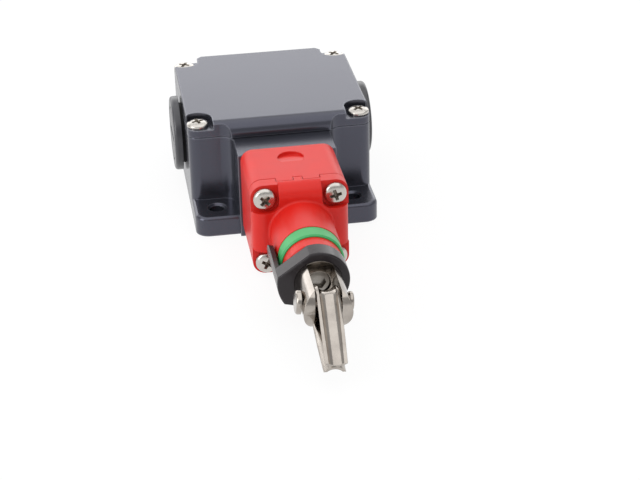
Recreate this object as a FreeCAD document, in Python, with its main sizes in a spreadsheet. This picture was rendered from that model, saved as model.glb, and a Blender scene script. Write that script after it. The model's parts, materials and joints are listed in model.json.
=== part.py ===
import FreeCAD, Part
import math
import os
import re
import Sketcher
from FreeCAD import Placement, Rotation, Vector

# Rope pull switch: a die-cast housing, a red head with a sprung pull shaft, a pointer that
# shows the rope's tension against a green band, and a fork with a thimble for the rope's eye.
# Millimetres. The origin lies on the base plane between the four fixing holes, +Z points out
# of the cover and the rope pulls along -Y.

sizes = {
    # Housing
    "body_width": 68,
    "body_length": 65,
    "body_height": 32.6,
    "body_corner": 4,
    "body_wall": 4,
    "body_floor": 3.5,
    "column_size": 11,
    "flange_reach": 15.5,
    "flange_thick": 7.4,
    "flange_corner": 5,
    "flange_round": 1.5,
    "mount_inset": 8.5,
    "mount_reach": 7,
    "mount_hole": 5.5,
    "mount_hole_edge": 0.8,
    "neck_width": 36,
    "neck_reach": 17.5,
    "neck_fillet": 4.5,
    "neck_bore": 14,
    "axis_height": 17.6,
    "entry_drop": 11.8,
    "entry_thread": 20,
    "boss_width": 8,
    "boss_height": 4,
    "earth_x": 18,
    "earth_y": 13,
    # Cover and its gasket
    "cover_height": 5.8,
    "cover_wall": 3,
    "cover_edge": 0.8,
    "cover_inset_x": 4,
    "cover_inset_y": 5,
    "parting_edge": 0.25,
    "seat_height": 3,
    "recess_radius": 5.3,
    "recess_flare": 2.4,
    "bulge_reach": 2.5,
    "bulge_roll": 5,
    "gasket_width": 1.8,
    "gasket_thick": 1.2,
    "gasket_gap": 0.1,
    # Pan-head screws
    "screw_thread": 4,
    "screw_head": 8,
    "screw_crown": 2.8,
    "screw_rim": 0.9,
    "screw_drive": 4.6,
    "screw_blade": 1.1,
    "screw_drive_depth": 1.5,
    "screw_grip": 9,
    "screw_tip_gap": 1.5,
    "thread_gap": 0.05,
    "hole_gap": 0.25,
    "small_thread": 3,
    "small_head": 5.5,
    "small_crown": 2,
    "small_rim": 0.6,
    "small_drive": 3.2,
    "small_blade": 0.8,
    "small_drive_depth": 1,
    # Blind plugs in the side entries
    "plug_flange": 28.4,
    "plug_thick": 3,
    "plug_edge": 1.2,
    "plug_shank": 5,
    "plug_gap": 0.1,
    "plug_ring": 20,
    "plug_ring_width": 0.8,
    "plug_ring_depth": 0.5,
    "plug_slot": 15,
    "plug_slot_width": 2.4,
    "plug_slot_depth": 1.4,
    "seal_thick": 1,
    "seal_outer": 23,
    # Head
    "head_size": 34.2,
    "head_round": 4.5,
    "head_length": 32.5,
    "head_bore": 17.2,
    "head_front_round": 5,
    "head_screw_pitch": 24.6,
    "head_gasket_outer": 23,
    "head_gasket_thick": 0.8,
    "shell_length": 24.5,
    "tooth_start": 1.7,
    "tooth_width": 5.9,
    "tooth_depth": 3,
    "tooth_reach": 2.4,
    "tooth_gap": 0.2,
    "seam_edge": 0.3,
    "scoop_width": 9.4,
    "scoop_station": 9,
    "scoop_sink": 0.47,
    "scoop_tilt": 8.9,
    "arm_width": 15,
    "pocket_depth": 3,
    "pocket_round": 3.5,
    "nose_width": 22.4,
    "nose_length": 18.3,
    "nose_tip_width": 20.3,
    "nose_tip_length": 11.2,
    "nose_edge": 0.5,
    "nose_root": 0.9,
    "ring_width": 22,
    "ring_length": 5.8,
    "ring_edge": 0.5,
    "ring_gap": 0.05,
    # Pull shaft, its guide and its spring
    "shaft_width": 10,
    "shaft_front_width": 8,
    "shaft_tail": 1.6,
    "bush_outer": 14,
    "bush_length": 6,
    "bush_gap": 0.03,
    "wiper_length": 2,
    "wiper_gap": 0.06,
    "spring_length": 46,
    "spring_mean": 13.8,
    "spring_wire": 1.6,
    "spring_turns": 8,
    "spring_seat_gap": 0.1,
    "washer_outer": 16,
    "washer_thick": 1.5,
    "ring_clip_outer": 13,
    "ring_clip_thick": 1,
    "ring_clip_depth": 0.7,
    "ring_clip_mouth": 5,
    "fit_gap": 0.05,
    # Cam slide behind the shaft
    "slide_width": 8,
    "slide_height": 9,
    "slide_spigot": 5,
    "slide_spigot_length": 8,
    "slide_pin": 2,
    "pull_travel": 18,
    "cam_rise": 4,
    "cam_lead": 3,
    "cam_station": 2,
    # Collar with the pointer tab
    "collar_gap": 0.35,
    "collar_thick": 6.7,
    "collar_width": 21.4,
    "collar_flat_angle": 86,
    "collar_edge": 0.7,
    "collar_turn": -10.5,
    "tab_outer": 27.2,
    "tab_inner": 24,
    "tab_half_angle": 22.5,
    "tab_reach": 19.9,
    "tab_flat": 0.4,
    # Fork, cross pin and thimble
    "fork_width": 16,
    "fork_seat": 4.2,
    "fork_lip": 0.3,
    "fork_slot": 8.8,
    "fork_reach": 12.6,
    "fork_turn": 5,
    "fork_screw": 5,
    "fork_screw_head": 8,
    "fork_screw_sink": 2.8,
    "fork_screw_crown": 2.4,
    "fork_screw_edge": 0.4,
    "fork_screw_socket": 4.6,
    "fork_screw_socket_depth": 1.6,
    "fork_screw_grip": 11,
    "pin_width": 4,
    "pin_gap": 0.05,
    "pin_head": 8,
    "pin_head_thick": 1.7,
    "pin_head_edge": 0.8,
    "pin_tail": 6.4,
    "pin_tail_thick": 1.2,
    "pin_tail_edge": 0.5,
    "thimble_width": 7.6,
    "thimble_sheet": 0.9,
    "thimble_eye": 8.4,
    "thimble_channel": 3.3,
    "thimble_reach": 26.5,
    "thimble_tip": 2.2,
    "thimble_slit": 0.3,
    "thimble_play": 0.15,
    "thimble_droop": 20,
    # Contact block
    "block_gap": 1.5,
    "block_width": 18,
    "block_length": 28,
    "block_height": 15,
    "block_wall": 2,
    "block_guide": 3,
    "lug_length": 7,
    "lug_width": 9,
    "lug_height": 4,
    "lid_thick": 5,
    "plunger_width": 6,
    "plunger_stub": 3,
    "plunger_stub_length": 3,
    "plunger_gap": 0.05,
    "ramp_gap": 0.15,
    "bridge_thick": 1.2,
    "bridge_length": 23,
    "bridge_height": 5,
    "contact_pitch": 18,
    "rivet_width": 3.6,
    "rivet_thick": 0.5,
    "rivet_gap": 0.15,
    "strip_thick": 0.8,
    "strip_width": 5.4,
    "strip_drop": 15,
    "strip_flange": 6.6,
    "strip_gap": 0.1,
    "plunger_spring_mean": 5,
    "plunger_spring_wire": 0.6,
    "plunger_spring_turns": 4,
    "block_screw_grip": 3,
}

doc = FreeCAD.newDocument("rope_pull_switch")
sheet = doc.addObject("Spreadsheet::Sheet", "Sizes")
for row, (alias, number) in enumerate(sizes.items(), start=1):
    sheet.set(f"A{row}", alias)
    sheet.set(f"B{row}", str(number))
    sheet.setAlias(f"B{row}", alias)
doc.recompute()

nodes = []


# Formulas name the cells of the sheet


def value(formula):
    return float(sheet.evalExpression(formula))


def linked(formula):
    return re.sub(r"[a-z]\w*", lambda word: f"Sizes.{word[0]}" if word[0] in sizes else word[0], formula)


def bind(item, prop, formula):
    item.setExpression(prop, linked(formula))


# Bodies and their sketches


def node(item):
    item.Label = item.Name
    nodes.append(item)
    return item


def body(name):
    return doc.addObject("PartDesign::Body", name)


def on_axis(item):
    bind(item, "Placement.Base.z", "axis_height")
    return item


def sketch(item, name, role, offset="0"):
    made = item.newObject("Sketcher::SketchObject", f"{item.Name}_{name}")
    plane = next(feature for feature in item.Origin.OriginFeatures if feature.Role == role)
    made.AttachmentSupport = [(plane, "")]
    made.MapMode = "FlatFace"
    bind(made, "AttachmentOffset.Base.z", offset)
    return made


def pin(made, index, position, across, up):
    for kind, formula in (("DistanceX", across), ("DistanceY", up)):
        rule = made.addConstraint(Sketcher.Constraint(kind, -1, 1, index, position, value(formula)))
        bind(made, f"Constraints[{rule}]", formula)


def contour(made, vertices, closed=True):
    # A third entry of a vertex is the radius of the arc to the next one, negative where the
    # outline turns right. An open outline ends at its last vertex.
    points = [Vector(value(vertex[0]), value(vertex[1]), 0) for vertex in vertices]
    chain = []
    for start, end, vertex in zip(points, points[1:] + points[:closed], vertices):
        if len(vertex) == 2:
            chain.append((made.addGeometry(Part.LineSegment(start, end), False), 1, 2))
            continue
        radius = value(vertex[2])
        chord = end - start
        left = Vector(-chord.y, chord.x, 0).normalize() * math.copysign(1, radius)
        rise = math.sqrt(radius**2 - chord.Length**2 / 4)
        middle = (start + end) / 2 + left * (rise - abs(radius))
        ends = (start, end) if radius > 0 else (end, start)
        index = made.addGeometry(Part.ArcOfCircle(ends[0], middle, ends[1]), False)
        chain.append((index, 1, 2) if radius > 0 else (index, 2, 1))
        rule = made.addConstraint(Sketcher.Constraint("Radius", index, abs(radius)))
        bind(made, f"Constraints[{rule}]", f"abs({vertex[2]})")
    for before, now in zip(chain, chain[1:] + chain[:closed]):
        made.addConstraint(Sketcher.Constraint("Coincident", before[0], before[2], now[0], now[1]))
    for (index, start, end), vertex in zip(chain, vertices):
        pin(made, index, start, vertex[0], vertex[1])
    if not closed:
        pin(made, index, end, *vertices[-1])


def circle(made, across, up, width):
    middle = Vector(value(across), value(up), 0)
    index = made.addGeometry(Part.Circle(middle, Vector(0, 0, 1), value(width) / 2), False)
    pin(made, index, 3, across, up)
    rule = made.addConstraint(Sketcher.Constraint("Diameter", index, value(width)))
    bind(made, f"Constraints[{rule}]", width)


def oblong(left, right, low, high):
    return [(left, low), (right, low), (right, high), (left, high)]


def rounded(wide, tall, radius):
    across, up = f"{wide} / 2", f"{tall} / 2"
    return [
        (f"{radius} - {across}", f"-{up}"),
        (f"{across} - {radius}", f"-{up}", radius),
        (across, f"{radius} - {up}"),
        (across, f"{up} - {radius}", radius),
        (f"{across} - {radius}", up),
        (f"{radius} - {across}", up, radius),
        (f"-{across}", f"{up} - {radius}"),
        (f"-{across}", f"{radius} - {up}", radius),
    ]


# Features


def extrude(item, kind, made, length, side="One side", reverse=False):
    before = item.Shape.Volume if kind == "Pocket" else 0
    feature = item.newObject(f"PartDesign::{kind}", f"{made.Name}_{kind.lower()}")
    feature.Profile = made
    feature.SideType = side
    feature.Reversed = reverse
    bind(feature, "Length", length)
    doc.recompute()
    if kind == "Pocket" and item.Shape.Volume >= before:
        raise ValueError(f"{feature.Name} cuts nothing")


def pad(item, made, length, **options):
    extrude(item, "Pad", made, length, **options)


def pocket(item, made, length, **options):
    extrude(item, "Pocket", made, length, **options)


def turn(item, kind, made, axis="V_Axis"):
    feature = item.newObject(f"PartDesign::{kind}", f"{made.Name}_{kind.lower()}")
    feature.Profile = made
    feature.ReferenceAxis = (made, [axis])
    feature.Angle = 360
    doc.recompute()


def coil(item, made, height, turns, axis):
    feature = item.newObject("PartDesign::AdditiveHelix", f"{made.Name}_coil")
    feature.Profile = made
    feature.ReferenceAxis = (made, [axis])
    feature.Mode = "height-turns-angle"
    bind(feature, "Height", height)
    bind(feature, "Turns", turns)
    doc.recompute()


def sweep(item, made, path):
    feature = item.newObject("PartDesign::AdditivePipe", f"{made.Name}_sweep")
    feature.Profile = made
    feature.Spine = (path, [f"Edge{count}" for count in range(1, len(path.Shape.Edges) + 1)])
    doc.recompute()


def dress(item, kind, size, test):
    base = item.Tip
    names = [f"Edge{count}" for count, edge in enumerate(base.Shape.Edges, start=1) if test(edge)]
    feature = item.newObject(f"PartDesign::{kind}", f"{base.Name}_{kind.lower()}")
    feature.Base = (base, names)
    bind(feature, "Radius" if kind == "Fillet" else "Size", size)
    doc.recompute()


def lies_at(edge, axis, place):
    return all(abs(getattr(vertex.Point, axis) - place) < 1e-3 for vertex in edge.Vertexes)


def group(name, copies):
    # Equal pieces in one node; each copy is its master body, a place and a turn about an axis
    links = []
    for count, (master, place, axis, angle) in enumerate(copies, start=1):
        link = doc.addObject("App::Link", f"{name}_{count}")
        link.LinkedObject = master
        link.Placement = Placement(Vector(), Rotation(Vector(*axis), angle))
        for letter, formula in zip("xyz", place):
            bind(link, f"Placement.Base.{letter}", formula)
        links.append(link)
    made = doc.addObject("Part::Compound", name)
    made.Links = links
    doc.recompute()
    return node(made)


# Stations along the pull axis, measured forwards from the origin

neck_front = "(body_length / 2 + neck_reach)"
seam = f"({neck_front} + shell_length)"
head_front = f"({neck_front} + head_length)"
pocket_floor = f"({head_front} - pocket_depth)"
shoulder = f"({head_front} + nose_length)"
nose_end = f"({shoulder} + nose_tip_length)"
guide_rear = f"({nose_end} - bush_length - wiper_length)"
washer_front = f"({guide_rear} - spring_length)"
clip_rear = f"({washer_front} - washer_thick - ring_clip_thick)"
shaft_rear = f"({clip_rear} - shaft_tail)"
collar_rear = f"({nose_end} + collar_gap)"
collar_front = f"({collar_rear} + collar_thick)"
fork_rear = f"({collar_front} - fork_seat)"
slot_floor = f"({collar_front} + fork_lip)"
pin_station = f"({collar_front} + fork_reach)"

corners = [(across, along) for across in (-1, 1) for along in (-1, 1)]
body_top = "body_height"
cover_top = "(body_height + cover_height)"
entry_height = "(body_height - entry_drop)"
cover_x, cover_y = "(body_width / 2 - cover_inset_x)", "(body_length / 2 - cover_inset_y)"
mount_x, mount_y = "(body_width / 2 - mount_inset)", "(body_length / 2 + mount_reach)"


# Housing


def cross(grow):
    # Inside of the walls and the corner columns, let out by grow
    half_x, half_y = f"(body_width / 2 - body_wall + {grow})", f"(body_length / 2 - body_wall + {grow})"
    step_x, step_y = f"(body_width / 2 - column_size + {grow})", f"(body_length / 2 - column_size + {grow})"
    quarter = [(step_x, half_y), (step_x, step_y), (half_x, step_y)]
    turns = ((-1, -1, 1), (1, -1, -1), (1, 1, 1), (-1, 1, -1))
    return [(f"{sx} * {x}", f"{sy} * {y}") for sx, sy, order in turns for x, y in quarter[::-order]]


housing = node(body("housing"))
made = sketch(housing, "flange", "XY_Plane")
contour(made, rounded("body_width", "(body_length + 2 * flange_reach)", "flange_corner"))
pad(housing, made, "flange_thick")
dress(housing, "Fillet", "flange_round", lambda edge: lies_at(edge, "z", value("flange_thick")))

made = sketch(housing, "walls", "XY_Plane")
half_x, half_y = "body_width / 2", "body_length / 2"
neck_x, neck_root = "neck_width / 2", "(body_length / 2 + neck_fillet)"
contour(made, [
    (f"body_corner - {half_x}", f"-{half_y}"),
    (f"-{neck_x} - neck_fillet", f"-{half_y}", "-neck_fillet"),
    (f"-{neck_x}", f"-{neck_root}"),
    (f"-{neck_x}", f"-{neck_front}"),
    (neck_x, f"-{neck_front}"),
    (neck_x, f"-{neck_root}", "-neck_fillet"),
    (f"{neck_x} + neck_fillet", f"-{half_y}"),
    *rounded("body_width", "body_length", "body_corner")[1:],
])
pad(housing, made, body_top)
dress(housing, "Chamfer", "parting_edge", lambda edge: lies_at(edge, "z", value(body_top)))

made = sketch(housing, "cavity", "XY_Plane", body_top)
contour(made, cross("0"))
pocket(housing, made, "body_height - body_floor")
made = sketch(housing, "rabbet", "XY_Plane", body_top)
contour(made, cross("gasket_width"))
pocket(housing, made, "gasket_thick")

made = sketch(housing, "neck_bore", "XZ_Plane", neck_front)
circle(made, "0", "axis_height", "neck_bore")
pocket(housing, made, neck_front)
made = sketch(housing, "head_threads", "XZ_Plane", neck_front)
for across, up in corners:
    place = f"{across} * head_screw_pitch / 2", f"axis_height + {up} * head_screw_pitch / 2"
    circle(made, *place, "screw_thread + 2 * thread_gap")
pocket(housing, made, "screw_grip + screw_tip_gap")

made = sketch(housing, "side_entries", "YZ_Plane")
circle(made, "0", entry_height, "entry_thread")
pocket(housing, made, "body_width", side="Symmetric")
made = sketch(housing, "rear_entry", "XZ_Plane")
circle(made, "0", entry_height, "entry_thread")
pocket(housing, made, "body_length / 2")

made = sketch(housing, "cover_threads", "XY_Plane", body_top)
for across, along in corners:
    place = f"{across} * {cover_x}", f"{along} * {cover_y}"
    circle(made, *place, "screw_thread + 2 * thread_gap")
pocket(housing, made, "screw_grip + screw_tip_gap")

made = sketch(housing, "mount_holes", "XY_Plane", "flange_thick")
for across, along in corners:
    circle(made, f"{across} * {mount_x}", f"{along} * {mount_y}", "mount_hole")
pocket(housing, made, "flange_thick")
dress(
    housing, "Chamfer", "mount_hole_edge",
    lambda edge: lies_at(edge, "z", value("flange_thick")) and len(edge.Vertexes) == 1,
)

# Bosses on the floor: two under the contact block and one for the earth screw
block_middle = "-cam_station"
block_base = "(body_floor + boss_height)"
block_right = "(body_width / 2 - plug_shank - block_gap)"
block_left = f"({block_right} - block_width)"
lug_x = f"({block_left} + lug_width / 2)"
lug_reach = "(block_length / 2 + lug_length / 2)"
earth_place = ("-earth_x", "earth_y")
boss_places = [(lug_x, f"{block_middle} + {sign} * {lug_reach}") for sign in (-1, 1)]
boss_threads = [(*place, "small_thread") for place in boss_places] + [(*earth_place, "screw_thread")]
made = sketch(housing, "bosses", "XY_Plane", "body_floor")
for place in [*boss_places, earth_place]:
    circle(made, *place, "boss_width")
pad(housing, made, "boss_height")
made = sketch(housing, "boss_threads", "XY_Plane", block_base)
for across, along, thread in boss_threads:
    circle(made, across, along, f"{thread} + 2 * thread_gap")
pocket(housing, made, "boss_height")


# Cover with the rolled front edge and the four screw recesses

cover = node(body("cover"))
made = sketch(cover, "plan", "XY_Plane", body_top)
arc_x = "(neck_width / 2 + neck_fillet)"
bulge_x = f"({arc_x} - sqrt(neck_fillet ^ 2 - (neck_fillet - bulge_reach) ^ 2))"
bulge_front = "(body_length / 2 + bulge_reach)"
contour(made, [
    (f"body_corner - {half_x}", f"-{half_y}"),
    (f"-{arc_x}", f"-{half_y}", "-neck_fillet"),
    (f"-{bulge_x}", f"-{bulge_front}"),
    (bulge_x, f"-{bulge_front}", "-neck_fillet"),
    (arc_x, f"-{half_y}"),
    *rounded("body_width", "body_length", "body_corner")[1:],
])
pad(cover, made, "cover_height")
dress(cover, "Chamfer", "parting_edge", lambda edge: lies_at(edge, "z", value(body_top)))

made = sketch(cover, "roll", "YZ_Plane")
contour(made, [
    (f"-{bulge_front}", f"{cover_top} - bulge_roll", "-bulge_roll"),
    (f"bulge_roll - {bulge_front}", cover_top),
    (f"-{bulge_front}", cover_top),
])
pocket(cover, made, f"2 * ({cover_x} - recess_radius)", side="Symmetric")

made = sketch(cover, "recesses", "XY_Plane", cover_top)
for across, along in corners:
    seat_x, seat_y = f"{across} * {cover_x}", f"{along} * {cover_y}"
    inner, outer = (f"{across} * ({cover_x} + {side} * recess_radius)" for side in (-1, 1))
    edge_y = f"{along} * {bulge_front}"
    arc = f"{-along * across} * recess_radius"
    outline = [
        (outer, edge_y),
        (outer, seat_y, arc),
        (seat_x, f"{along} * ({cover_y} - recess_radius)", arc),
        (inner, seat_y),
    ]
    if along > 0:
        outline.append((inner, f"{half_y} - recess_flare"))
        outline.append((f"{inner} - {across} * recess_flare", half_y))
        outline.append((f"{inner} - {across} * recess_flare", edge_y))
    else:
        outline.append((inner, edge_y))
    contour(made, outline)
pocket(cover, made, "cover_height - seat_height")

made = sketch(cover, "hollow", "XY_Plane", body_top)
contour(made, cross("0"))
pocket(cover, made, "cover_height - cover_wall", reverse=True)
made = sketch(cover, "holes", "XY_Plane", body_top)
for across, along in corners:
    place = f"{across} * {cover_x}", f"{along} * {cover_y}"
    circle(made, *place, "screw_thread + 2 * hole_gap")
pocket(cover, made, "cover_height", reverse=True)


def outer_top_edge(edge):
    sides = ("x", value(half_x)), ("x", -value(half_x)), ("y", value(half_y))
    return lies_at(edge, "z", value(cover_top)) and any(lies_at(edge, *side) for side in sides)


dress(cover, "Fillet", "cover_edge", outer_top_edge)

gasket = node(body("cover_gasket"))
made = sketch(gasket, "ring", "XY_Plane", "body_height - gasket_thick")
contour(made, cross("gasket_width - gasket_gap"))
contour(made, cross("0"))
pad(gasket, made, "gasket_thick")


# Screws: the underside of the head lies at z = 0 of each master


def pan_screw(name, kind, length):
    thread, head, crown = f"{kind}_thread", f"{kind}_head", f"{kind}_crown"
    item = body(name)
    made = sketch(item, "profile", "XZ_Plane")
    rise = f"({crown} - {kind}_rim)"
    dome = f"(({head} / 2) ^ 2 + {rise} ^ 2) / (2 * {rise})"
    contour(made, [
        ("0", f"-({length})"),
        (f"{thread} / 2", f"-({length})"),
        (f"{thread} / 2", "0"),
        (f"{head} / 2", "0"),
        (f"{head} / 2", f"{kind}_rim", dome),
        ("0", crown),
    ])
    turn(item, "Revolution", made)
    made = sketch(item, "drive", "XY_Plane", crown)
    long, short = f"{kind}_drive / 2", f"{kind}_blade / 2"
    quarter = [(short, long), (short, short), (long, short)]
    turns = ((-1, -1, 1), (1, -1, -1), (1, 1, 1), (-1, 1, -1))
    contour(made, [(f"{sx} * {x}", f"{sy} * {y}") for sx, sy, order in turns for x, y in quarter[::-order]])
    pocket(item, made, f"{kind}_drive_depth")
    return item


upright, forward = ((1, 0, 0), 0), ((1, 0, 0), 90)
cover_screw = pan_screw("cover_screw", "screw", "seat_height + screw_grip")
group("cover_screws", [
    (cover_screw, (f"{x} * {cover_x}", f"{y} * {cover_y}", "body_height + seat_height"), *upright)
    for x, y in corners
])
head_screw = pan_screw("head_screw", "screw", f"{pocket_floor} - {neck_front} + screw_grip")
group("head_screws", [
    (
        head_screw,
        (f"{x} * head_screw_pitch / 2", f"-{pocket_floor}", f"axis_height + {z} * head_screw_pitch / 2"),
        *forward,
    )
    for x, z in corners
])
earth_screw = node(pan_screw("earth_screw", "screw", "boss_height - thread_gap"))
for letter, formula in zip("xyz", (*earth_place, block_base)):
    bind(earth_screw, f"Placement.Base.{letter}", formula)


# Blind plugs and their seals, turned about an axis that points out of the wall


def conduit_plug(name, side):
    item = node(body(name))
    made = sketch(item, "profile", "XY_Plane")
    shank, face = "entry_thread / 2 - plug_gap", "(seal_thick + plug_thick)"
    groove_in, groove_out = "(plug_ring - plug_ring_width) / 2", "(plug_ring + plug_ring_width) / 2"
    contour(made, [
        ("0", "-plug_shank"),
        (shank, "-plug_shank"),
        (shank, "seal_thick"),
        ("plug_flange / 2", "seal_thick"),
        ("plug_flange / 2", f"{face} - plug_edge", "plug_edge"),
        ("plug_flange / 2 - plug_edge", face),
        (groove_out, face),
        (groove_out, f"{face} - plug_ring_depth"),
        (groove_in, f"{face} - plug_ring_depth"),
        (groove_in, face),
        ("0", face),
    ])
    turn(item, "Revolution", made)
    made = sketch(item, "slot", "XZ_Plane", f"-{face}")
    half, thin = "plug_slot / 2", "plug_slot_width / 2"
    contour(made, oblong(f"-{half}", half, f"-{thin}", thin))
    pocket(item, made, "plug_slot_depth", reverse=True)
    item.Placement = Placement(Vector(), Rotation(Vector(0, 0, 1), -90 * side))
    bind(item, "Placement.Base.x", f"{side} * body_width / 2")
    bind(item, "Placement.Base.z", entry_height)


conduit_plug("conduit_plug_left", -1)
conduit_plug("conduit_plug_right", 1)


def ring(item, inner, outer, rear, front):
    # A plain ring about the pull axis between two stations
    made = sketch(item, "section", "XY_Plane")
    contour(made, oblong(f"{inner} / 2", f"{outer} / 2", f"-({front})", f"-({rear})"))
    turn(item, "Revolution", made)
    return item


plug_seal = ring(body("plug_seal"), "entry_thread", "seal_outer", "-seal_thick", "0")
group("plug_seals", [
    (plug_seal, (f"{side} * body_width / 2", "0", entry_height), (0, 0, 1), -90 * side) for side in (-1, 1)
])


# Head: the rear shell with its teeth, and the front with the nose


def teeth(gap):
    # Two teeth in the middle of each of the four sides of the head
    near, far = f"tooth_start - {gap}", f"tooth_start + tooth_width + {gap}"
    low, high = f"head_size / 2 - tooth_depth - {gap}", "head_size / 2"
    for hand in (-1, 1):
        span = f"{hand} * ({near})", f"{hand} * ({far})"
        for side in (-1, 1):
            depth = f"{side} * ({low})", f"{side} * ({high})"
            yield oblong(*span, *depth)
            yield oblong(*depth, *span)


def screw_circles(made):
    for across, up in corners:
        place = f"{across} * head_screw_pitch / 2", f"{up} * head_screw_pitch / 2"
        circle(made, *place, "screw_thread + 2 * hole_gap")


shell = node(on_axis(body("head_shell")))
made = sketch(shell, "square", "XZ_Plane", neck_front)
contour(made, rounded("head_size", "head_size", "head_round"))
pad(shell, made, "shell_length")
made = sketch(shell, "teeth", "XZ_Plane", seam)
for tooth in teeth("0"):
    contour(made, tooth)
pad(shell, made, "tooth_reach")
made = sketch(shell, "bores", "XZ_Plane", seam)
circle(made, "0", "0", "head_bore")
screw_circles(made)
pocket(shell, made, "shell_length")
made = sketch(shell, "gasket_seat", "XZ_Plane", neck_front)
circle(made, "0", "0", "head_gasket_outer + 2 * fit_gap")
pocket(shell, made, "head_gasket_thick", reverse=True)

# Sloping thumb recess in the top of the shell
made = sketch(shell, "scoop", "XY_Plane", "head_size / 2 - scoop_sink")
made.AttachmentOffset = Placement(Vector(), Rotation(Vector(1, 0, 0), -value("scoop_tilt")))
bind(made, "AttachmentOffset.Rotation.Angle", "-scoop_tilt")
bind(made, "AttachmentOffset.Base.y", f"-{neck_front} - scoop_station")
circle(made, "0", "0", "scoop_width")
pocket(shell, made, "scoop_width / 2", reverse=True)

head_gasket = node(on_axis(body("head_gasket")))
ring(head_gasket, "head_bore", "head_gasket_outer", neck_front, f"{neck_front} + head_gasket_thick")

nose = node(on_axis(body("head_nose")))
made = sketch(nose, "square", "XZ_Plane", seam)
contour(made, rounded("head_size", "head_size", "head_round"))
pad(nose, made, "head_length - shell_length")
dress(nose, "Chamfer", "seam_edge", lambda edge: lies_at(edge, "y", -value(seam)))
made = sketch(nose, "notches", "XZ_Plane", seam)
for notch in teeth("tooth_gap"):
    contour(made, notch)
pocket(nose, made, "tooth_reach + tooth_gap", reverse=True)
for name, role in (("upright_rolls", "YZ_Plane"), ("level_rolls", "XY_Plane")):
    made = sketch(nose, name, role)
    for side in (-1, 1):
        start = f"-{head_front}", f"{side} * (head_size / 2 - head_front_round)"
        end = f"head_front_round - {head_front}", f"{side} * head_size / 2"
        corner = start[0], end[1]
        if role == "YZ_Plane":
            contour(made, [(*start, f"{-side} * head_front_round"), end, corner])
        else:
            contour(made, [(*start[::-1], f"{side} * head_front_round"), end[::-1], corner[::-1]])
    pocket(nose, made, "arm_width", side="Symmetric")
made = sketch(nose, "pockets", "XZ_Plane", head_front)
arm, arm_end = "arm_width / 2", "(arm_width / 2 + pocket_round)"
for across, up in corners:
    contour(made, [
        (f"{across} * {arm}", f"{up} * head_size"),
        (f"{across} * {arm}", f"{up} * {arm_end}", f"{across * up} * pocket_round"),
        (f"{across} * {arm_end}", f"{up} * {arm}"),
        (f"{across} * head_size", f"{up} * {arm}"),
        (f"{across} * head_size", f"{up} * head_size"),
    ])
pocket(nose, made, "pocket_depth")
made = sketch(nose, "nose", "XY_Plane")
contour(made, [
    ("0", f"-{nose_end}"),
    ("nose_tip_width / 2 - nose_edge", f"-{nose_end}"),
    ("nose_tip_width / 2", f"nose_edge - {nose_end}"),
    ("nose_tip_width / 2", f"-{shoulder}"),
    ("nose_width / 2", f"-{shoulder}"),
    ("nose_width / 2", f"-{head_front} - nose_root", "-nose_root"),
    ("nose_width / 2 + nose_root", f"-{head_front}"),
    ("nose_width / 2 + nose_root", f"-{pocket_floor}"),
    ("0", f"-{pocket_floor}"),
])
turn(nose, "Revolution", made)
made = sketch(nose, "chamber", "XY_Plane")
contour(made, [
    ("0", f"-{nose_end}"),
    ("bush_outer / 2", f"-{nose_end}"),
    ("bush_outer / 2", f"-{guide_rear}"),
    ("head_bore / 2", f"-{guide_rear}"),
    ("head_bore / 2", f"-{seam}"),
    ("0", f"-{seam}"),
])
turn(nose, "Groove", made)
made = sketch(nose, "screw_holes", "XZ_Plane", pocket_floor)
screw_circles(made)
pocket(nose, made, "head_length")

tension_ring = node(on_axis(body("tension_ring")))
made = sketch(tension_ring, "section", "XY_Plane")
ring_inner, ring_front = "nose_tip_width / 2 + ring_gap", f"({shoulder} + ring_length)"
contour(made, [
    (ring_inner, f"-{ring_front}"),
    ("ring_width / 2 - ring_edge", f"-{ring_front}"),
    ("ring_width / 2", f"ring_edge - {ring_front}"),
    ("ring_width / 2", f"-{shoulder}"),
    (ring_inner, f"-{shoulder}"),
])
turn(tension_ring, "Revolution", made)


# Pull shaft with its guide, wiper, spring, washer and clip

wiper_rear = f"({nose_end} - wiper_length)"
ring(
    node(on_axis(body("guide_bush"))),
    "(shaft_width + 2 * bush_gap)", "(bush_outer - 2 * fit_gap)", guide_rear, wiper_rear,
)
ring(
    node(on_axis(body("shaft_seal"))),
    "(shaft_width + 2 * wiper_gap)", "(bush_outer - 2 * fit_gap)", wiper_rear, nose_end,
)

shaft = node(on_axis(body("pull_shaft")))
made = sketch(shaft, "profile", "XY_Plane")
clip_front = f"({clip_rear} + ring_clip_thick)"
shaft_tip = f"({shaft_rear} - slide_spigot_length)"
contour(made, [
    ("0", f"-{fork_rear}"),
    ("shaft_front_width / 2", f"-{fork_rear}"),
    ("shaft_front_width / 2", f"-{collar_rear}"),
    ("shaft_width / 2", f"-{collar_rear}"),
    ("shaft_width / 2", f"-{clip_front}"),
    ("shaft_width / 2 - ring_clip_depth", f"-{clip_front}"),
    ("shaft_width / 2 - ring_clip_depth", f"-{clip_rear}"),
    ("shaft_width / 2", f"-{clip_rear}"),
    ("shaft_width / 2", f"-{shaft_rear}"),
    ("slide_spigot / 2", f"-{shaft_rear}"),
    ("slide_spigot / 2", f"-{shaft_tip}"),
    ("0", f"-{shaft_tip}"),
])
turn(shaft, "Revolution", made)
made = sketch(shaft, "thread", "XZ_Plane", fork_rear)
circle(made, "0", "0", "fork_screw + 2 * thread_gap")
pocket(shaft, made, "fork_screw_grip + screw_tip_gap")
slide_pin_place = ("0", f"slide_spigot_length / 2 - {shaft_rear}")
made = sketch(shaft, "pin_hole", "XY_Plane")
circle(made, *slide_pin_place, "slide_pin + 2 * fit_gap")
pocket(shaft, made, "shaft_width", side="Symmetric")

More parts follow.
